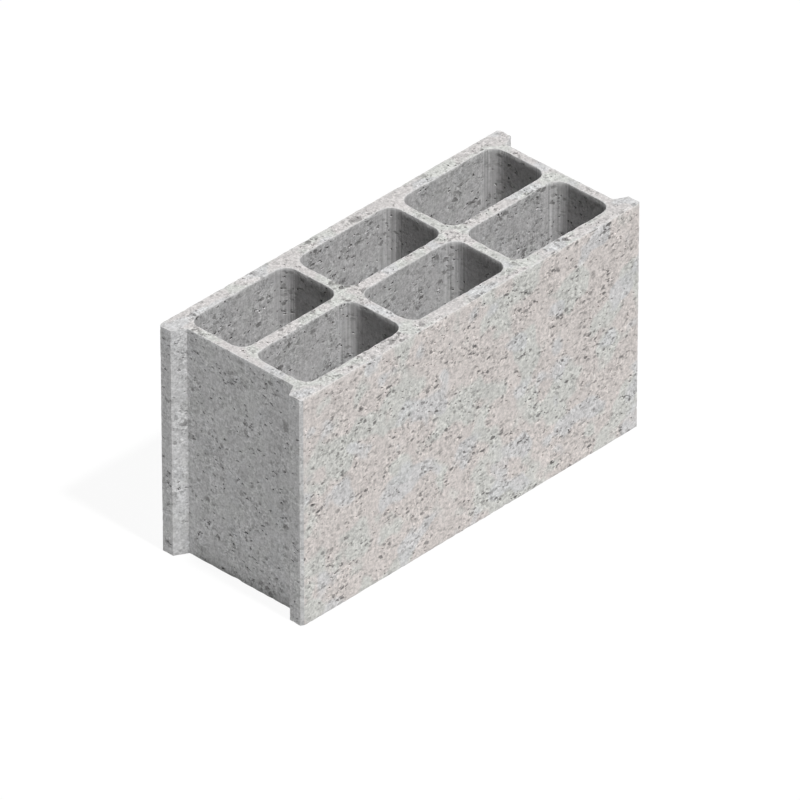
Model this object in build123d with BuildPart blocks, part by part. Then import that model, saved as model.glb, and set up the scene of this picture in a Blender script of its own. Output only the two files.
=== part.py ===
from build123d import *
import os

os.makedirs("parts", exist_ok=True)

# A hollow concrete building block, cast in one piece, in millimetres.
# X runs along the wall, Y through its thickness and Z up, from the centre of the bottom bed face.

# Overall size
block_length = 500
block_thickness = 200
block_height = 275

# Walls between and around the cells
face_shell = 17    # outer wall along each long face
centre_web = 14    # long web between the two rows of cells
end_wall = 11      # wall between an end recess and the cells beside it
cross_web = 12     # web between neighbouring cells of a row

# Cells, open from bed to bed
cells_per_row = 3
cell_rows = 2
cell_corner_radius = 15

# Mortar recess in each end, between two ears
recess_depth = 15
ear_tip_width = 17.5    # flat end of an ear, measured from the long face
ear_slant = 8.5         # how much thicker an ear is at its root than at its tip
arris = 3               # chamfer on the upright outer corners

# The cells share what the walls leave
wall_along_length = 2 * (recess_depth + end_wall) + (cells_per_row - 1) * cross_web
wall_across = 2 * face_shell + (cell_rows - 1) * centre_web
cell_length = (block_length - wall_along_length) / cells_per_row
cell_width = (block_thickness - wall_across) / cell_rows

# The recess narrows from its mouth at the end face to its floor
mouth_half_width = block_thickness / 2 - ear_tip_width
floor_half_width = mouth_half_width - ear_slant


with BuildPart() as block:
    # Plan of the block: outline, end recesses and cells
    with BuildSketch() as plan:
        Rectangle(block_length, block_thickness)
        chamfer(plan.vertices(), length=arris)

        # One recess at each end, drawn with its own X pointing out of the block
        with PolarLocations(block_length / 2, 2):
            Polygon(
                (0, -mouth_half_width),
                (-recess_depth, -floor_half_width),
                (-recess_depth, floor_half_width),
                (0, mouth_half_width),
                mode=Mode.SUBTRACT,
            )

        cell_pitch_x = cell_length + cross_web
        cell_pitch_y = cell_width + centre_web
        with GridLocations(cell_pitch_x, cell_pitch_y, cells_per_row, cell_rows):
            RectangleRounded(cell_length, cell_width, cell_corner_radius, mode=Mode.SUBTRACT)
    extrude(amount=block_height)

block.part.label = "block"
export_step(block.part, "parts/block.step")
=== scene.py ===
import math

import bmesh
import bpy
import numpy as np
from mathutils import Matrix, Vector
from mathutils.geometry import delaunay_2d_cdt
from mathutils.kdtree import KDTree


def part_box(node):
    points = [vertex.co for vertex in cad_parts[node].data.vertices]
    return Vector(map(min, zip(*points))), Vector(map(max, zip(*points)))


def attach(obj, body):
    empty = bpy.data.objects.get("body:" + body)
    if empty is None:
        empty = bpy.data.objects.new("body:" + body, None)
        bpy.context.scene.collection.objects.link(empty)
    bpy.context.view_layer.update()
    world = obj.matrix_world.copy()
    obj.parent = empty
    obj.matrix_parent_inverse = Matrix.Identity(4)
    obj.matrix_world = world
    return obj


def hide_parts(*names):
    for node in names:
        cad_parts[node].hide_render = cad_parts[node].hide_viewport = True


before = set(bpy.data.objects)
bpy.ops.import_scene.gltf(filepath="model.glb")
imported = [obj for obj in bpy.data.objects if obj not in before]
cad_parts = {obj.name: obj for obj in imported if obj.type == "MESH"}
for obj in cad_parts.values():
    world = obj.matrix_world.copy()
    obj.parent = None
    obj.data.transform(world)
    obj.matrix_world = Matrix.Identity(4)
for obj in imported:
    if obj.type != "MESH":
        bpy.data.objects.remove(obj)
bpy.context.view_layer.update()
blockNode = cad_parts["block"]
blockLow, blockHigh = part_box("block")
blockHeight = blockHigh[2] - blockLow[2]
blockCentre = (Vector(blockLow) + Vector(blockHigh)) / 2
mm = 0.001
print("frame loaded, block box", [round(v, 4) for v in (*blockLow, *blockHigh)])


# Node helpers

def addNode(tree, kind, inputs=None, **settings):
    node = tree.nodes.new(kind)
    for name, value in settings.items():
        setattr(node, name, value)
    for key, value in (inputs or {}).items():
        socket = node.inputs[key]
        if isinstance(value, bpy.types.NodeSocket):
            tree.links.new(value, socket)
        else:
            socket.default_value = value
    return node


def maths(tree, operation, first, second=0.0, third=0.0, clamp=False):
    inputs = {0: first, 1: second, 2: third}
    return addNode(tree, "ShaderNodeMath", inputs, operation=operation, use_clamp=clamp).outputs[0]


def vectorMaths(tree, operation, first, second=None, scale=None):
    inputs = {0: first}
    if second is not None:
        inputs[1] = second
    if scale is not None:
        inputs["Scale"] = scale
    return addNode(tree, "ShaderNodeVectorMath", inputs, operation=operation).outputs[0]


def ramp(tree, value, low, high, outLow=0.0, outHigh=1.0, smooth=True):
    kind = "SMOOTHSTEP" if smooth else "LINEAR"
    inputs = {0: value, 1: low, 2: high, 3: outLow, 4: outHigh}
    return addNode(tree, "ShaderNodeMapRange", inputs, interpolation_type=kind).outputs[0]


def noiseFac(tree, vector, scale, detail=2.0, roughness=0.5):
    inputs = {"Vector": vector, "Scale": scale, "Detail": detail, "Roughness": roughness}
    return addNode(tree, "ShaderNodeTexNoise", inputs).outputs[0]


def mixColour(tree, factor, first, second):
    inputs = {0: factor, 6: first, 7: second}
    return addNode(tree, "ShaderNodeMix", inputs, data_type="RGBA").outputs[2]


def newGroup(name, kind, inputs, outputs):
    tree = bpy.data.node_groups.new(name, kind)
    for direction, sockets in (("INPUT", inputs), ("OUTPUT", outputs)):
        for label, socketType in sockets.items():
            tree.interface.new_socket(name=label, in_out=direction, socket_type="NodeSocket" + socketType)
    return tree, tree.nodes.new("NodeGroupInput").outputs, tree.nodes.new("NodeGroupOutput").inputs


def placeGroup(tree, group, inputs):
    return addNode(tree, "ShaderNodeGroup", inputs, node_tree=group).outputs


def opaque(colour):
    return (*colour, 1.0)


# Shared effects of the concrete

patchRules = {
    "detail": 1.5,
    "roughness": 0.45,
    "greenRange": (0.5, 0.6),        # noise at which a hue starts, and at which it is full
    "blueRange": (0.56, 0.64),
    "blueAside": (3.7, 1.9, 5.3),    # how far from the green patches the blue ones are read
}


def makePatchGroup():
    # broad, faint changes of hue where the mix dried unevenly
    tree, given, result = newGroup("huePatches", "ShaderNodeTree", {
        "Vector": "Vector", "Base": "Color", "Green Grey": "Color", "Blue Grey": "Color",
        "Scale": "Float", "Amount": "Float",
    }, {"Color": "Color"})

    def patchMask(place, noiseRange):
        noise = noiseFac(tree, place, given["Scale"], patchRules["detail"], patchRules["roughness"])
        return maths(tree, "MULTIPLY", ramp(tree, noise, *noiseRange), given["Amount"])

    greenMask = patchMask(given["Vector"], patchRules["greenRange"])
    aside = vectorMaths(tree, "ADD", given["Vector"], patchRules["blueAside"])
    blueMask = patchMask(aside, patchRules["blueRange"])
    tinted = mixColour(tree, greenMask, given["Base"], given["Green Grey"])
    tree.links.new(mixColour(tree, blueMask, tinted, given["Blue Grey"]), result["Color"])
    return tree


poreRules = {
    "wanderScale": 0.9,             # lengths here are shares of Size, the spacing of the pores
    "wanderDetail": 2.0,
    "radiusRange": (0.25, 0.75),
    "sizePower": 2.0,               # above 1, small pores outnumber large ones
    "depthRange": (0.35, 1.0),
    "rimRange": (-0.02, 0.16),      # where a pore's soft rim starts and ends
}


def makeSpeckGroup():
    # small open pores between the grains, drawn out sideways where Flatten is above 1; the mask gives them
    # bump dips and painted shade
    tree, given, result = newGroup("openPores", "ShaderNodeTree", {
        "Vector": "Vector", "Size": "Float", "Flatten": "Float", "Share": "Float",
        "Warp": "Float", "Shift": "Float",
    }, {"Mask": "Float"})
    perMetre = maths(tree, "DIVIDE", 1.0, given["Size"])
    inCells = vectorMaths(tree, "SCALE", given["Vector"], scale=perMetre)
    offset = addNode(tree, "ShaderNodeCombineXYZ", {axis: given["Shift"] for axis in range(3)})
    placed = vectorMaths(tree, "ADD", inCells, offset.outputs[0])
    squeeze = addNode(tree, "ShaderNodeCombineXYZ", {0: 1.0, 1: 1.0, 2: given["Flatten"]})
    squeezed = vectorMaths(tree, "MULTIPLY", placed, squeeze.outputs[0])
    wander = addNode(tree, "ShaderNodeTexNoise", {
        "Vector": squeezed, "Scale": poreRules["wanderScale"], "Detail": poreRules["wanderDetail"]})
    centred = vectorMaths(tree, "SUBTRACT", wander.outputs["Color"], (0.5, 0.5, 0.5))
    warped = vectorMaths(tree, "ADD", squeezed, vectorMaths(tree, "SCALE", centred, scale=given["Warp"]))
    cells = addNode(tree, "ShaderNodeTexVoronoi", {"Vector": warped, "Scale": 1.0})
    chance = addNode(tree, "ShaderNodeSeparateColor", {0: cells.outputs["Color"]})
    present = maths(tree, "LESS_THAN", chance.outputs["Red"], given["Share"])
    size = maths(tree, "POWER", chance.outputs["Green"], poreRules["sizePower"])
    radius = ramp(tree, size, 0.0, 1.0, *poreRules["radiusRange"], smooth=False)
    inside = maths(tree, "SUBTRACT", radius, cells.outputs["Distance"])
    depth = ramp(tree, chance.outputs["Blue"], 0.0, 1.0, *poreRules["depthRange"], smooth=False)
    outline = maths(tree, "MULTIPLY", ramp(tree, inside, *poreRules["rimRange"]), present)
    tree.links.new(maths(tree, "MULTIPLY", outline, depth), result["Mask"])
    return tree


grainRules = {
    "detail": 2.0,
    "fineRoughness": 0.6,
    "middleScale": 0.42,         # shares of the fine noise's scale
    "middleRoughness": 0.55,
    "broadScale": 0.1,
    "broadRoughness": 0.5,
    "middleShare": 0.45,         # middle noise in the mottling, the rest of it is fine
    "broadShare": 0.12,          # broad noise over both
}


def makeGrainGroup():
    # sand grains of the mix: even mottling in colour and height
    tree, given, result = newGroup("sandGrain", "ShaderNodeTree", {
        "Vector": "Vector", "Grain Size": "Float", "Contrast": "Float",
    }, {"Shade": "Float", "Height": "Float"})
    rules = grainRules
    perMetre = maths(tree, "DIVIDE", 1.0, given["Grain Size"])
    middleScale = maths(tree, "MULTIPLY", perMetre, rules["middleScale"])
    broadScale = maths(tree, "MULTIPLY", perMetre, rules["broadScale"])
    fine = noiseFac(tree, given["Vector"], perMetre, rules["detail"], rules["fineRoughness"])
    middle = noiseFac(tree, given["Vector"], middleScale, rules["detail"], rules["middleRoughness"])
    broad = noiseFac(tree, given["Vector"], broadScale, rules["detail"], rules["broadRoughness"])
    finePart = maths(tree, "MULTIPLY", fine, 1 - rules["middleShare"])
    blended = maths(tree, "MULTIPLY_ADD", middle, rules["middleShare"], finePart)
    blendedPart = maths(tree, "MULTIPLY", blended, 1 - rules["broadShare"])
    mottled = maths(tree, "MULTIPLY_ADD", broad, rules["broadShare"], blendedPart)
    centred = maths(tree, "SUBTRACT", mottled, 0.5)
    tree.links.new(maths(tree, "MULTIPLY_ADD", centred, given["Contrast"], 1.0), result["Shade"])
    tree.links.new(blended, result["Height"])
    return tree


wearRules = {
    "scale": 140.0,
    "detail": 3.0,
    "roughness": 0.6,
    "noiseRange": (0.3, 0.6),
    "leastRubbed": 0.25,         # share of the wear that stays where the noise breaks it up
    "edgeRange": (0.15, 0.9),
}


def makeWearGroup():
    # rubbed edges: the piece's own wear attribute, broken up by noise
    tree, given, result = newGroup("rubbedEdge", "ShaderNodeTree", {
        "Vector": "Vector", "Wear": "Float", "Amount": "Float",
    }, {"Mask": "Float"})
    rules = wearRules
    noise = noiseFac(tree, given["Vector"], rules["scale"], rules["detail"], rules["roughness"])
    broken = ramp(tree, noise, *rules["noiseRange"], rules["leastRubbed"], 1.0)
    edge = ramp(tree, given["Wear"], *rules["edgeRange"])
    worn = maths(tree, "MULTIPLY", edge, broken)
    tree.links.new(maths(tree, "MULTIPLY", worn, given["Amount"], clamp=True), result["Mask"])
    return tree


crowdRules = {
    "scale": 38.0,
    "detail": 2.0,
    "roughness": 0.55,
    "range": (0.38, 0.62),
    "least": 0.35,
}


def crowding(tree, place, most):
    # pores and pits come in loose crowds, with calmer ground between them
    noise = noiseFac(tree, place, crowdRules["scale"], crowdRules["detail"], crowdRules["roughness"])
    return ramp(tree, noise, *crowdRules["range"], crowdRules["least"], most)


patchGroup = makePatchGroup()
speckGroup = makeSpeckGroup()
grainGroup = makeGrainGroup()
wearGroup = makeWearGroup()
print("effects built")


# Concrete finishes

# the long outer faces get a lighter base and the ends a darker one: painted light and shade, set to how
# bright each side looks when lit; the pore and pit shade amounts differ by face for the same reason
concreteLook = {
    "litCastFace": {
        "base": (0.645, 0.601, 0.579), "greenGrey": (0.606, 0.620, 0.592),
        "blueGrey": (0.614, 0.618, 0.627), "patchScale": 26.0, "patchAmount": 0.76,
        "poreShare": 0.345, "poreShadeAmount": 0.98, "pitShadeAmount": 0.95, "pitShadeEdge": 0.95,
        "flatten": 1.7, "grainContrast": 2.4, "wearAmount": 0.3, "streak": 0.0,
    },
    "shadedEndFace": {
        "base": (0.552, 0.551, 0.553), "greenGrey": (0.549, 0.555, 0.546),
        "blueGrey": (0.549, 0.553, 0.560), "patchScale": 30.0, "patchAmount": 0.5,
        "poreShare": 0.4, "poreShadeAmount": 0.66, "pitShadeAmount": 0.2, "pitShadeEdge": 0.95,
        "flatten": 1.2, "grainContrast": 2.7, "wearAmount": 0.2, "streak": 0.0,
    },
    "bedFace": {
        "base": (0.580, 0.558, 0.551), "greenGrey": (0.562, 0.576, 0.549),
        "blueGrey": (0.569, 0.573, 0.581), "patchScale": 30.0, "patchAmount": 0.8,
        "poreShare": 0.45, "poreShadeAmount": 0.87, "pitShadeAmount": 0.9, "pitShadeEdge": 0.95,
        "flatten": 1.0, "grainContrast": 2.6, "wearAmount": 0.5, "streak": 0.0,
    },
    "cellWall": {
        "base": (0.558, 0.552, 0.553), "greenGrey": (0.552, 0.556, 0.547),
        "blueGrey": (0.555, 0.556, 0.562), "patchScale": 30.0, "patchAmount": 0.4,
        "poreShare": 0.38, "poreShadeAmount": 0.86, "pitShadeAmount": 0.95, "pitShadeEdge": 0.5,
        "flatten": 1.4, "grainContrast": 2.6, "wearAmount": 0.3, "streak": 1.45,
    },
}
# the cells' short walls get weaker painted shade in their pores and pits, and calmer grain, than their long
# ones
concreteLook["crossWall"] = {
    **concreteLook["cellWall"], "poreShadeAmount": 0.6, "pitShadeAmount": 0.8, "grainContrast": 1.8,
}

# what all the finishes share
concreteMix = {
    # dark colour painted as shade inside the pores and pits
    "holeShadeColour": (0.14, 0.136, 0.132),
    "wornColour": (0.66, 0.655, 0.645),
    "poreSize": 6.9 * mm,
    "poreWarp": 1.3,
    "smallPoreSize": 3.8 * mm,
    "smallPoreWarp": 1.1,
    "smallPoreShift": 7.3,               # keeps the small pores from lying on the large ones
    "smallPoreShare": 0.8,               # shares of what the large pores have
    "smallPoreShade": 0.7,
    "smallPoreDip": 0.5,
    "pitShadeStart": 0.1,                     # attribute value at which the painted pit shade starts
    "grainSize": 2.1 * mm,
    "grainRise": 0.8,                    # bump of the grain beside a large pore's 1
    "contrastRange": (0.75, 1.15),       # grain contrast on calm ground and in a crowd of pores
    "heightRange": (0.3, 0.7),
    "roughnessRange": (0.82, 0.96),
    "specular": 0.3,
    "bumpStrength": 0.7,
    "bumpHeight": 0.6 * mm,
}
dragRules = {
    "scale": 420.0,
    "detail": 2.0,
    "roughness": 0.6,
    "upwards": 0.02,                     # scale up the wall beside the scale along it
    "onFlat": 0.1,                       # share of the marks on the flat walls
    "grainInCorner": 0.4,                # share of the grain's mottling left in the rounded corners
}


def addDragMarks(tree, place, shade, streak):
    # marks left by the core as it was drawn up out of the cell, plainest in the rounded corners
    bend = addNode(tree, "ShaderNodeAttribute", attribute_name="bend").outputs["Fac"]
    stretch = (1.0, 1.0, dragRules["upwards"])
    drawnOut = addNode(tree, "ShaderNodeMapping", {"Vector": place, "Scale": stretch}).outputs[0]
    noise = noiseFac(tree, drawnOut, dragRules["scale"], dragRules["detail"], dragRules["roughness"])
    drag = maths(tree, "SUBTRACT", noise, 0.5)
    amount = ramp(tree, bend, 0.0, 1.0, dragRules["onFlat"] * streak, streak)
    grainLeft = ramp(tree, bend, 0.0, 1.0, 1.0, dragRules["grainInCorner"])
    smeared = maths(tree, "MULTIPLY", maths(tree, "SUBTRACT", shade, 1.0), grainLeft)
    return maths(tree, "ADD", maths(tree, "MULTIPLY_ADD", drag, amount, 1.0), smeared)


def makeConcrete(name):
    look, mix = concreteLook[name], concreteMix
    material = bpy.data.materials.new(name)
    material.use_nodes = True
    tree = material.node_tree
    shader = tree.nodes["Principled BSDF"]
    place = addNode(tree, "ShaderNodeTexCoord").outputs["Object"]
    pitShade = addNode(tree, "ShaderNodeAttribute", attribute_name="pitShade").outputs["Fac"]
    wear = addNode(tree, "ShaderNodeAttribute", attribute_name="wear").outputs["Fac"]

    patches = placeGroup(tree, patchGroup, {
        "Vector": place, "Base": opaque(look["base"]), "Green Grey": opaque(look["greenGrey"]),
        "Blue Grey": opaque(look["blueGrey"]), "Scale": look["patchScale"], "Amount": look["patchAmount"]})
    crowd = crowding(tree, place, 1.0)
    contrast = ramp(tree, crowd, crowdRules["least"], 1.0, *mix["contrastRange"])
    grain = placeGroup(tree, grainGroup, {
        "Vector": place, "Grain Size": mix["grainSize"],
        "Contrast": maths(tree, "MULTIPLY", contrast, look["grainContrast"])})
    pores = placeGroup(tree, speckGroup, {
        "Vector": place, "Size": mix["poreSize"], "Flatten": look["flatten"],
        "Share": look["poreShare"], "Warp": mix["poreWarp"], "Shift": 0.0})
    smallPores = placeGroup(tree, speckGroup, {
        "Vector": place, "Size": mix["smallPoreSize"], "Flatten": look["flatten"],
        "Share": look["poreShare"] * mix["smallPoreShare"], "Warp": mix["smallPoreWarp"],
        "Shift": mix["smallPoreShift"]})
    rubbed = placeGroup(tree, wearGroup, {"Vector": place, "Wear": wear, "Amount": look["wearAmount"]})
    poreMask = maths(tree, "MULTIPLY", pores["Mask"], crowd)
    smallMask = maths(tree, "MULTIPLY", smallPores["Mask"], crowd)

    shade = grain["Shade"]
    if look["streak"] > 0:
        shade = addDragMarks(tree, place, shade, look["streak"])
    ground = vectorMaths(tree, "SCALE", patches["Color"], scale=shade)
    worn = mixColour(tree, rubbed["Mask"], ground, opaque(mix["wornColour"]))
    # painted shade in the small and large pores, beside their bump dips
    smallPoreShadeTone = maths(tree, "MULTIPLY", smallMask, mix["smallPoreShade"] * look["poreShadeAmount"])
    withSmallPoreShade = mixColour(tree, smallPoreShadeTone, worn, opaque(mix["holeShadeColour"]))
    poreShadeTone = maths(tree, "MULTIPLY", poreMask, look["poreShadeAmount"])
    withPoreShade = mixColour(tree, poreShadeTone, withSmallPoreShade, opaque(mix["holeShadeColour"]))
    # painted shade in the pits, darkest at their floors; a lower edge value paints shade on the pit's sides
    # too, over the light they catch in the cells
    pitShadeTone = ramp(tree, pitShade, mix["pitShadeStart"], look["pitShadeEdge"])
    pitShadeMask = maths(tree, "MULTIPLY", pitShadeTone, look["pitShadeAmount"])
    colour = mixColour(tree, pitShadeMask, withPoreShade, opaque(mix["holeShadeColour"]))
    tree.links.new(colour, shader.inputs["Base Color"])

    rough = ramp(tree, grain["Height"], *mix["heightRange"], *mix["roughnessRange"])
    tree.links.new(rough, shader.inputs["Roughness"])
    shader.inputs["Specular IOR Level"].default_value = mix["specular"]

    poreDip = maths(tree, "MULTIPLY", poreMask, -1.0)
    dips = maths(tree, "MULTIPLY_ADD", smallMask, -mix["smallPoreDip"], poreDip)
    height = maths(tree, "MULTIPLY_ADD", grain["Height"], mix["grainRise"], dips)
    bump = addNode(tree, "ShaderNodeBump", {
        "Strength": mix["bumpStrength"], "Distance": mix["bumpHeight"], "Height": height})
    tree.links.new(bump.outputs[0], shader.inputs["Normal"])
    return material


litCastFace = makeConcrete("litCastFace")
shadedEndFace = makeConcrete("shadedEndFace")
bedFace = makeConcrete("bedFace")
cellWall = makeConcrete("cellWall")
crossWall = makeConcrete("crossWall")
print("concrete finishes built")


# The block's mesh: plan outlines from the frame, with walls and beds of small uneven triangles

blockShape = {
    "wallStep": 4.3 * mm,        # mesh spacing along the outer walls
    "wallRise": 2.6 * mm,        # and up them
    "cellStep": 4.8 * mm,        # the same inside the cells
    "cellArcStep": 3.0 * mm,
    "cellRise": 3.0 * mm,
    "cellDeepRise": 9.0 * mm,    # deep in the cells, where little is seen
    "cellFineDepth": 80 * mm,
    "fadeShare": 0.4,            # rows widen over this share of the fine depth
    "bedStep": 2.9 * mm,
    "rimRadius": 0.8 * mm,       # rounding where walls meet the beds
    "rimSegments": 2,
    "jitter": 0.3,               # share of the spacing that points wander
    "clearance": 0.6,            # share of the spacing that new points keep from fixed ones
    "wearReach": 2.2 * mm,       # how far rubbed edges reach
    "seed": 11,
}
sharpTurn = math.radians(20)     # a corner of the plan turns by more
roundTurn = math.radians(2)      # and a rounded stretch by more than this at each point
longRun = 2.2                    # in mesh steps: a longer edge of the plan is a straight run
endSlope = 0.3                   # outer walls that run this much across the block are its ends
mergeGap = 0.001 * mm
levelGap = 0.01 * mm
farOff = -1.0                    # stands in for an arris on walls that have none, a metre away
zoneOutside, zoneEnd, zoneBed, zoneCell, zoneCross = range(5)


def outlineLength(points):
    return sum((p - points[i - 1]).length for i, p in enumerate(points))


def readPlan(node):
    # closed outlines of the lower bed, with the concrete on their left: the outside, then the cells
    work = bmesh.new()
    work.from_mesh(node.data)
    bmesh.ops.remove_doubles(work, verts=work.verts, dist=mergeGap)
    low = min(v.co.z for v in work.verts)
    following = {}
    for edge in work.edges:
        bedFaces = [f for f in edge.link_faces if all(abs(v.co.z - low) < levelGap for v in f.verts)]
        if len(bedFaces) == 1:
            corner = next(c for c in bedFaces[0].loops if c.edge == edge)
            following[corner.link_loop_next.vert] = corner.vert
    outlines = []
    while following:
        start, vert = next(iter(following.items()))
        outline = [start.co.xy.copy()]
        del following[start]
        while vert != start:
            outline.append(vert.co.xy.copy())
            vert = following.pop(vert)
        outlines.append(outline)
    work.free()
    return sorted(outlines, key=outlineLength, reverse=True)


def turnAt(points, index):
    before = points[index] - points[index - 1]
    after = points[(index + 1) % len(points)] - points[index]
    return after.angle_signed(before)


def resample(points, straightStep, arcStep):
    # keeps the ends of straight runs, and spaces points evenly between them
    # returns the points, and for each its turn if it is a sharp corner or else 0
    count = len(points)
    turns = [turnAt(points, i) for i in range(count)]
    straight = []
    for i in range(count):
        length = (points[(i + 1) % count] - points[i]).length
        leastTurn = min(abs(turns[i]), abs(turns[(i + 1) % count]))
        straight.append(length > longRun * straightStep or leastTurn > sharpTurn)
    anchors = [i for i in range(count) if straight[i] or straight[i - 1]]
    spaced, corners = [], []
    for number, first in enumerate(anchors):
        chain, index = [points[first]], first
        while index != anchors[(number + 1) % len(anchors)]:
            index = (index + 1) % count
            chain.append(points[index])
        along = np.cumsum([0] + [(b - a).length for a, b in zip(chain, chain[1:])])
        pieces = max(1, round(along[-1] / (straightStep if straight[first] else arcStep)))
        at = along[-1] * np.arange(pieces) / pieces
        spaced += zip(*(np.interp(at, along, [p[axis] for p in chain]) for axis in range(2)))
        corners += [turns[first] if abs(turns[first]) > sharpTurn else 0.0] + [0.0] * (pieces - 1)
    return np.array(spaced), np.array(corners)


def inwardOf(points):
    # mitred direction into the concrete at each point of an outline
    after = np.roll(points, -1, 0) - points
    after /= np.linalg.norm(after, axis=1)[:, None]
    before = np.roll(after, 1, 0)
    normalA = np.stack([-before[:, 1], before[:, 0]], 1)
    normalB = np.stack([-after[:, 1], after[:, 0]], 1)
    return (normalA + normalB) / (1 + (normalA * normalB).sum(1))[:, None]


def rowHeights(height, rise, deepRise, fineDepth):
    # row heights of a wall, further apart below the fine depth, if it has one
    rows = [0.0]
    while rows[-1] < height:
        share = 0.0
        if fineDepth:
            below = height - rows[-1] - fineDepth
            share = min(max(below / (blockShape["fadeShare"] * fineDepth), 0.0), 1.0)
        rows.append(rows[-1] + rise + (deepRise - rise) * share)
    return np.array(rows) * height / rows[-1]


def insideOutline(points, outline):
    # even-odd test of many points against one closed outline
    ends = np.roll(outline, -1, 0)
    x, y = points[:, 0][:, None], points[:, 1][:, None]
    crossing = (outline[:, 1] > y) != (ends[:, 1] > y)
    run = ends[:, 1] - outline[:, 1]
    run[run == 0] = 1.0    # such edges cross nothing, and this keeps them from dividing by zero
    at = outline[:, 0] + (y - outline[:, 1]) * (ends[:, 0] - outline[:, 0]) / run
    return ((x < at) & crossing).sum(1) % 2 == 1


def fillPatch(fixed, edges, isInside, step, generator):
    # scatters points between fixed ones and joins them all by triangles
    # returns the new points, the triangles and the new points' gaps to the fixed ones
    low, high = fixed.min(0), fixed.max(0)
    wander, clearance = blockShape["jitter"] * step, blockShape["clearance"] * step
    rowGap = step * math.sqrt(0.75)    # as in a grid of even triangles
    grid = np.array([(x + (step / 2 if j % 2 else 0), y)
                     for j, y in enumerate(np.arange(low[1], high[1], rowGap))
                     for x in np.arange(low[0], high[0], step)])
    points = grid + generator.uniform(-wander, wander, grid.shape)
    points = points[isInside(points)]
    tree = KDTree(len(fixed))
    for i, p in enumerate(fixed):
        tree.insert((*p, 0), i)
    tree.balance()
    gaps = np.array([tree.find((*p, 0))[2] for p in points])
    points, gaps = points[gaps > clearance], gaps[gaps > clearance]
    everything = np.concatenate([fixed, points])
    tolerance = 1e-6 * step
    made = delaunay_2d_cdt([Vector(p) for p in everything], edges, [], 0, tolerance)
    triangles = np.array([ids[0] for ids in made[3]])[np.array(made[2])]
    triangles = triangles[isInside(everything[triangles].mean(1))]
    a, b, c = (everything[triangles[:, k]] for k in range(3))
    turned = (b[:, 0] - a[:, 0]) * (c[:, 1] - a[:, 1]) < (b[:, 1] - a[:, 1]) * (c[:, 0] - a[:, 0])
    triangles[turned] = triangles[turned][:, ::-1]
    return points, triangles, gaps


class MeshParts:
    # what the block's mesh is gathered in
    def __init__(self):
        self.points, self.wear, self.bend, self.faces, self.zones = [], [], [], [], []

    def addPoints(self, points, wear, bend):
        first = len(self.points)
        self.points += [tuple(p) for p in points]
        self.wear += list(wear)
        self.bend += list(bend)
        return np.arange(first, len(self.points))

    def addFaces(self, faces, zones):
        self.faces += [tuple(int(v) for v in face) for face in faces]
        self.zones += list(zones)


def fillWall(count, tall, corners, generator):
    # the wall unrolled: one unit along for each point of the plan and one up for each row,
    # with a line of points up each corner
    # returns its points, its triangles and the numbers of its fixed points
    lines = sorted({0, count} | {i for i in range(count) if corners[i]})
    numbers, fixed = {}, []
    for i in range(count + 1):
        for k in (range(tall + 1) if i in lines else (0, tall)):
            numbers[i, k] = len(fixed)
            fixed.append((i, k))
    edges = [(numbers[i, k], numbers[i + 1, k]) for i in range(count) for k in (0, tall)]
    edges += [(numbers[i, k], numbers[i, k + 1]) for i in lines for k in range(tall)]
    fixed = np.array(fixed, float)

    def onWall(points):
        return ((points > 0) & (points < (count, tall))).all(1)

    new, triangles, _ = fillPatch(fixed, edges, onWall, 1.0, generator)
    return np.concatenate([fixed, new]), triangles, numbers


def addRim(parts, plan, inward, ring, top, bend, zoneOf):
    # rings that turn a wall over into the bed: returns the point numbers of the last
    radius, segments = blockShape["rimRadius"], blockShape["rimSegments"]
    for step in range(1, segments + 1):
        angle = math.pi / 2 * step / segments
        inset, drop = radius * (1 - math.cos(angle)), radius * (1 - math.sin(angle))
        place = plan + inward * inset
        height = blockHigh[2] - drop if top else blockLow[2] + drop
        nextRing = parts.addPoints([(x, y, height) for x, y in place], np.ones(len(plan)), bend)
        a, b, c, d = ring, np.roll(ring, -1), np.roll(nextRing, -1), nextRing
        parts.addFaces(np.stack([a, b, c, d] if top else [d, c, b, a], 1), zoneOf)
        ring = nextRing
    return ring


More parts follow.
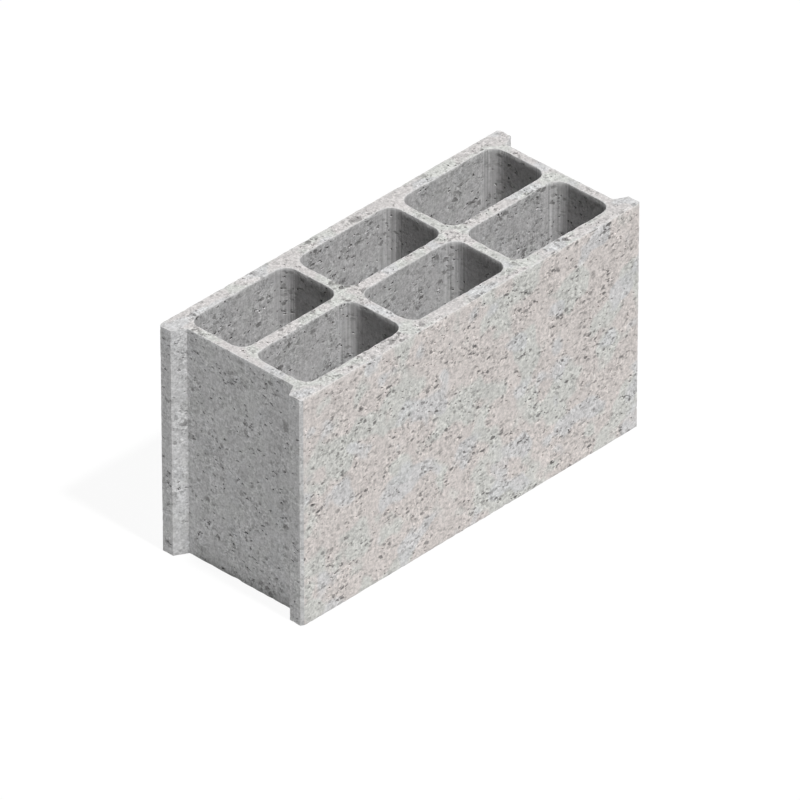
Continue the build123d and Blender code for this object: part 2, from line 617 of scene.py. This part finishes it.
def addWall(parts, outline, outside, generator):
    # one closed wall with its two rims: returns the rim outline and its point numbers below and above
    shape = blockShape
    radius, reach = shape["rimRadius"], shape["wearReach"]
    plan, corners = resample(outline, shape["wallStep" if outside else "cellStep"], shape["cellArcStep"])
    count = len(plan)
    inward = inwardOf(plan)
    closed = np.concatenate([plan, plan[:1]])
    steps = np.diff(closed, axis=0)
    along = np.concatenate([[0], np.cumsum(np.linalg.norm(steps, axis=1))])
    arrises = np.concatenate([along[:-1][corners > 0], [farOff]])
    heading = np.arctan2(*steps.T)
    turning = np.abs((heading - np.roll(heading, 1) + math.pi) % (2 * math.pi) - math.pi)
    bend = np.where((turning > roundTurn) & (turning < sharpTurn), 1.0, 0.0)
    alongX, alongY = np.abs(steps).T
    height = blockHeight - 2 * radius
    if outside:
        rows = rowHeights(height, shape["wallRise"], shape["wallRise"], 0)
        zoneOf = np.where(alongY > endSlope * alongX, zoneEnd, zoneOutside)
    else:
        rows = rowHeights(height, shape["cellRise"], shape["cellDeepRise"], shape["cellFineDepth"])
        zoneOf = np.where(alongY > alongX, zoneCross, zoneCell)
    tall = len(rows) - 1

    unrolled, triangles, numbers = fillWall(count, tall, corners, generator)
    whole = np.arange(count + 1)
    x, y = (np.interp(unrolled[:, 0], whole, closed[:, axis]) for axis in range(2))
    z = radius + np.interp(unrolled[:, 1], np.arange(tall + 1), rows)
    edgeGap = np.minimum(z, blockHeight - z) - radius
    arrisGap = np.abs(np.interp(unrolled[:, 0], whole, along)[:, None] - arrises).min(1)
    wear = np.exp(-(np.minimum(edgeGap, arrisGap) if outside else edgeGap) / reach)
    bendHere = np.interp(unrolled[:, 0], whole, np.append(bend, bend[0]))
    ids = parts.addPoints(np.stack([x, y, z + blockLow[2]], 1), wear, bendHere)
    for k in range(tall + 1):
        ids[numbers[count, k]] = ids[numbers[0, k]]    # the wall closes on itself
    segment = np.clip(unrolled[triangles].mean(1)[:, 0].astype(int), 0, count - 1)
    parts.addFaces(ids[triangles], zoneOf[segment])

    rims = []
    for row in (0, tall):
        ring = ids[[numbers[i, row] for i in range(count)]]
        rims.append(addRim(parts, plan, inward, ring, row == tall, bend, zoneOf))
    return plan + inward * radius, rims


def buildBlockMesh():
    generator = np.random.default_rng(blockShape["seed"])
    parts = MeshParts()
    rimOutlines, lowRims, highRims = [], [], []
    for number, outline in enumerate(readPlan(blockNode)):
        rim, (low, high) = addWall(parts, outline, number == 0, generator)
        rimOutlines.append(rim)
        lowRims.append(low)
        highRims.append(high)

    def onBed(points):
        solid = insideOutline(points, rimOutlines[0])
        for hole in rimOutlines[1:]:
            solid &= ~insideOutline(points, hole)
        return solid

    starts = np.cumsum([0] + [len(rim) for rim in rimOutlines])
    edges = []
    for start, rim in zip(starts, rimOutlines):
        edges += [(int(start + i), int(start + (i + 1) % len(rim))) for i in range(len(rim))]
    for rims, z in ((lowRims, blockLow[2]), (highRims, blockHigh[2])):
        new, triangles, gaps = fillPatch(
            np.concatenate(rimOutlines), edges, onBed, blockShape["bedStep"], generator)
        wear = np.exp(-gaps / blockShape["wearReach"])
        added = parts.addPoints([(x, y, z) for x, y in new], wear, np.zeros(len(new)))
        found = np.concatenate([*rims, added])[triangles]
        parts.addFaces(found if rims is highRims else found[:, ::-1], [zoneBed] * len(found))

    mesh = bpy.data.meshes.new("concreteBlock")
    mesh.from_pydata(parts.points, [], parts.faces)
    for name, values in (("wear", parts.wear), ("bend", parts.bend)):
        mesh.attributes.new(name, "FLOAT", "POINT").data.foreach_set("value", np.array(values, np.float32))
    mesh.attributes.new("zone", "INT", "FACE").data.foreach_set("value", np.array(parts.zones, np.int32))
    work = bmesh.new()
    work.from_mesh(mesh)
    # each wall's last seam was joined to its first one, so its own points are loose
    bmesh.ops.delete(work, geom=[v for v in work.verts if not v.link_faces], context="VERTS")
    work.to_mesh(mesh)
    work.free()
    return mesh


# Uneven cast surface, rubbed rims and open pits, grown on the mesh

surfaceRules = {
    "Unevenness": 0.2 * mm,
    "Grain": 0.16 * mm,
    "Chip Depth": 0.9 * mm,
    "Chip Size": 7 * mm,
    "Pit Share": 0.024,
    "Pit Depth": 1.7 * mm,
    "Pit Narrowing": 0.55,
    "Seed": 5,
}
# in the order of the zones
surfaceFinishes = {
    "Outside": litCastFace,
    "Ends": shadedEndFace,
    "Beds": bedFace,
    "Cells": cellWall,
    "Cross Walls": crossWall,
}
reliefRules = {
    "broadScale": 34.0,
    "broadRange": (0.3, 0.7),
    "chipDetail": 2.0,
    "chipRoughness": 0.6,
    "chipRange": (0.5, 0.75),
    "chipWearPower": 2.0,
    "strokeScale": (190.0, 240.0, 340.0),    # finest upwards, which draws the pits out sideways
    "strokeDetail": 1.0,
    "strokeRange": (0.35, 0.7),
    "strokeBias": (0.1, 2.4),
    "crowdMost": 1.6,
    "rimWear": 0.55,                         # pits stay where there is less wear than this
    "leastDepth": 0.35,                      # the shallowest pit beside the deepest
    "narrowingRange": (0.5, 1.5),
    "pitShadeRange": (0.3, 1.0),
    "zoneGap": 0.1,                          # zone numbers closer than this are the same
    "creaseAngle": math.radians(30),
}


def makeSurfaceTree():
    rules = reliefRules
    inputs = {"Geometry": "Geometry"}
    inputs.update({name: "Int" if name == "Seed" else "Float" for name in surfaceRules})
    inputs.update({name: "Material" for name in surfaceFinishes})
    tree, given, result = newGroup("castSurface", "GeometryNodeTree", inputs, {"Geometry": "Geometry"})
    place = addNode(tree, "GeometryNodeInputPosition").outputs[0]
    normal = addNode(tree, "GeometryNodeInputNormal").outputs[0]
    wear = addNode(tree, "GeometryNodeInputNamedAttribute", {"Name": "wear"}, data_type="FLOAT").outputs[0]
    zone = addNode(tree, "GeometryNodeInputNamedAttribute", {"Name": "zone"}, data_type="INT").outputs[0]

    def chance(low, high, salt):
        # each salt gives random draws of its own
        inputs = {2: low, 3: high, "Seed": maths(tree, "ADD", given["Seed"], salt)}
        return addNode(tree, "FunctionNodeRandomValue", inputs, data_type="FLOAT").outputs[1]

    # relief only ever goes inwards, so that the block keeps its size
    broadNoise = ramp(tree, noiseFac(tree, place, rules["broadScale"]), *rules["broadRange"])
    broad = maths(tree, "MULTIPLY", broadNoise, given["Unevenness"])
    grain = maths(tree, "MULTIPLY", chance(0.0, 1.0, 1), given["Grain"])
    perChip = maths(tree, "DIVIDE", 1.0, given["Chip Size"])
    chipNoise = noiseFac(tree, place, perChip, rules["chipDetail"], rules["chipRoughness"])
    chips = maths(tree, "MULTIPLY", ramp(tree, chipNoise, *rules["chipRange"]), given["Chip Depth"])
    chipped = maths(tree, "MULTIPLY", chips, maths(tree, "POWER", wear, rules["chipWearPower"]))
    sunk = maths(tree, "ADD", maths(tree, "ADD", broad, grain), chipped)
    inwards = vectorMaths(tree, "SCALE", normal, scale=maths(tree, "MULTIPLY", sunk, -1.0))
    relief = addNode(tree, "GeometryNodeSetPosition", {"Geometry": given["Geometry"], "Offset": inwards})

    # pits: scattered faces, drawn out sideways into short strokes, kept off the rims
    strokePlace = vectorMaths(tree, "MULTIPLY", place, rules["strokeScale"])
    stroke = noiseFac(tree, strokePlace, 1.0, rules["strokeDetail"])
    bias = ramp(tree, stroke, *rules["strokeRange"], *rules["strokeBias"])
    crowd = crowding(tree, place, rules["crowdMost"])
    share = maths(tree, "MULTIPLY", maths(tree, "MULTIPLY", crowd, bias), given["Pit Share"])
    lucky = maths(tree, "LESS_THAN", chance(0.0, 1.0, 2), share)
    offRim = maths(tree, "LESS_THAN", wear, rules["rimWear"])
    picked = maths(tree, "MULTIPLY", lucky, offRim)
    depth = maths(tree, "MULTIPLY", chance(-1.0, -rules["leastDepth"], 3), given["Pit Depth"])
    pits = addNode(tree, "GeometryNodeExtrudeMesh", {
        "Mesh": relief.outputs[0], "Selection": picked, "Offset Scale": depth, "Individual": True,
    }, mode="FACES")
    narrowing = maths(tree, "MULTIPLY", chance(*rules["narrowingRange"], 4), given["Pit Narrowing"])
    narrowed = addNode(tree, "GeometryNodeScaleElements", {
        "Geometry": pits.outputs["Mesh"], "Selection": pits.outputs["Top"], "Scale": narrowing,
    }, domain="FACE")
    # the pit floors are marked for painted shade, stronger or weaker at random
    pitShadeStrength = maths(tree, "MULTIPLY", pits.outputs["Top"], chance(*rules["pitShadeRange"], 5))
    marked = addNode(tree, "GeometryNodeStoreNamedAttribute", {
        "Geometry": narrowed.outputs[0], "Name": "pitShade", "Value": pitShadeStrength,
    }, data_type="FLOAT", domain="POINT")

    smooth = addNode(tree, "GeometryNodeSetShadeSmooth", {"Geometry": marked.outputs[0]})
    real = addNode(tree, "GeometryNodeRealizeInstances", {"Geometry": smooth.outputs[0]}).outputs[0]
    for number, label in enumerate(surfaceFinishes):
        here = maths(tree, "COMPARE", zone, float(number), rules["zoneGap"])
        real = addNode(tree, "GeometryNodeSetMaterial", {
            "Geometry": real, "Selection": here, "Material": given[label]}).outputs[0]
    tree.links.new(real, result["Geometry"])
    return tree


def socketId(tree, name):
    return next(item.identifier for item in tree.interface.items_tree
                if item.item_type == "SOCKET" and item.in_out == "INPUT" and item.name == name)


def makeBlock():
    piece = bpy.data.objects.new("concreteBlock", buildBlockMesh())
    bpy.context.collection.objects.link(piece)
    print("plain mesh:", len(piece.data.vertices), "points,", len(piece.data.polygons), "faces")
    tree = makeSurfaceTree()
    modifier = piece.modifiers.new("castSurface", "NODES")
    modifier.node_group = tree
    for name, value in {**surfaceRules, **surfaceFinishes}.items():
        modifier[socketId(tree, name)] = value
    evaluated = piece.evaluated_get(bpy.context.evaluated_depsgraph_get())
    finished = bpy.data.meshes.new_from_object(evaluated)
    piece.modifiers.clear()
    plain = piece.data
    piece.data = finished
    bpy.data.meshes.remove(plain)
    finished.name = "concreteBlock"
    finished.set_sharp_from_angle(angle=reliefRules["creaseAngle"])
    return piece


block = makeBlock()
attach(block, "root")
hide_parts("block")
triangleCount = sum(len(p.vertices) - 2 for p in block.data.polygons)
print("block finished:", triangleCount, "triangles")


# Floor, light and camera

studio = {
    "floorSize": 60.0,
    "floorDrop": 0.2 * mm,       # how far the floor lies under the block
    "floorColour": (0.62, 0.62, 0.62),
    "whiteShare": 0.89,          # how much of the floor the camera sees as plain white
    "whiteStrength": 1.05,
    "worldStrength": 0.04,
}
plainWhite = (1.0, 1.0, 1.0, 1.0)
lamps = {
    # name: where it shines from, strength and softness in degrees
    "keyLight": ((-0.008, -0.48, 0.877), 3.4, 4),
    "overheadLight": ((0.06, 0.0, 1.0), 0.35, 8),
    "leftFill": ((-1.0, 0.02, 0.03), 0.45, 3),
    "rightFill": ((1.0, 0.2, 0.03), 0.5, 3),
    "backFill": ((0.02, 1.0, 0.05), 0.8, 4),
}


def cameraRay(tree):
    path = addNode(tree, "ShaderNodeLightPath").outputs
    seen = maths(tree, "MAXIMUM", path["Is Camera Ray"], path["Is Glossy Ray"])
    return maths(tree, "MAXIMUM", seen, path["Is Transmission Ray"])


def makeFloor():
    half, height = studio["floorSize"] / 2, blockLow[2] - studio["floorDrop"]
    mesh = bpy.data.meshes.new("studioFloor")
    corners = [(-half, -half), (half, -half), (half, half), (-half, half)]
    mesh.from_pydata([(x, y, height) for x, y in corners], [], [(0, 1, 2, 3)])
    floor = bpy.data.objects.new("studioFloor", mesh)
    bpy.context.collection.objects.link(floor)
    material = bpy.data.materials.new("paleFloor")
    material.use_nodes = True
    tree = material.node_tree
    tree.nodes.remove(tree.nodes["Principled BSDF"])
    matt = addNode(tree, "ShaderNodeBsdfDiffuse", {"Color": opaque(studio["floorColour"])})
    white = addNode(tree, "ShaderNodeEmission", {"Color": plainWhite, "Strength": studio["whiteStrength"]})
    share = maths(tree, "MULTIPLY", cameraRay(tree), studio["whiteShare"])
    mixed = addNode(tree, "ShaderNodeMixShader", {0: share, 1: matt.outputs[0], 2: white.outputs[0]})
    tree.links.new(mixed.outputs[0], tree.nodes["Material Output"].inputs["Surface"])
    mesh.materials.append(material)


def makeSun(name, direction, strength, angle):
    lamp = bpy.data.lights.new(name, "SUN")
    lamp.energy = strength
    lamp.angle = math.radians(angle)
    sun = bpy.data.objects.new(name, lamp)
    sun.rotation_euler = Vector(direction).to_track_quat("Z", "Y").to_euler()
    bpy.context.collection.objects.link(sun)


def makeWorld():
    world = bpy.data.worlds.new("studioWorld")
    bpy.context.scene.world = world
    world.use_nodes = True
    tree = world.node_tree
    tree.nodes.clear()
    soft = addNode(tree, "ShaderNodeBackground", {"Color": plainWhite, "Strength": studio["worldStrength"]})
    white = addNode(tree, "ShaderNodeBackground", {"Color": plainWhite, "Strength": 1.0})
    seen = cameraRay(tree)
    mixed = addNode(tree, "ShaderNodeMixShader", {0: seen, 1: soft.outputs[0], 2: white.outputs[0]})
    output = addNode(tree, "ShaderNodeOutputWorld")
    tree.links.new(mixed.outputs[0], output.inputs["Surface"])


view = {
    "azimuth": 46.404,           # degrees from +Y towards +X that the camera looks along
    "elevation": 34.044,
    "distance": 13.083,
    "lens": 578.2,               # in millimetres, as is the sensor
    "sensorWidth": 36,
    "clipRange": (0.1, 100),
    "sideways": -1.51 * mm,      # the aim's offset from the block's centre, in the picture plane
    "upwards": -24.61 * mm,
}


def makeCamera():
    azimuth, elevation = math.radians(view["azimuth"]), math.radians(view["elevation"])
    level = math.cos(elevation)
    forward = Vector((math.sin(azimuth) * level, math.cos(azimuth) * level, -math.sin(elevation)))
    right = Vector((math.cos(azimuth), -math.sin(azimuth), 0))
    up = right.cross(forward)
    aim = blockCentre + right * view["sideways"] + up * view["upwards"]
    lens = bpy.data.cameras.new("studioCamera")
    lens.lens = view["lens"]
    lens.sensor_width = view["sensorWidth"]
    lens.clip_start, lens.clip_end = view["clipRange"]
    camera = bpy.data.objects.new("studioCamera", lens)
    camera.location = aim - forward * view["distance"]
    camera.rotation_euler = forward.to_track_quat("-Z", "Y").to_euler()
    bpy.context.collection.objects.link(camera)
    bpy.context.scene.camera = camera


makeFloor()
for lampName, (direction, strength, softness) in lamps.items():
    makeSun(lampName, direction, strength, softness)
makeWorld()
makeCamera()
bpy.context.scene.view_settings.view_transform = "Standard"
print("floor, light and camera placed")
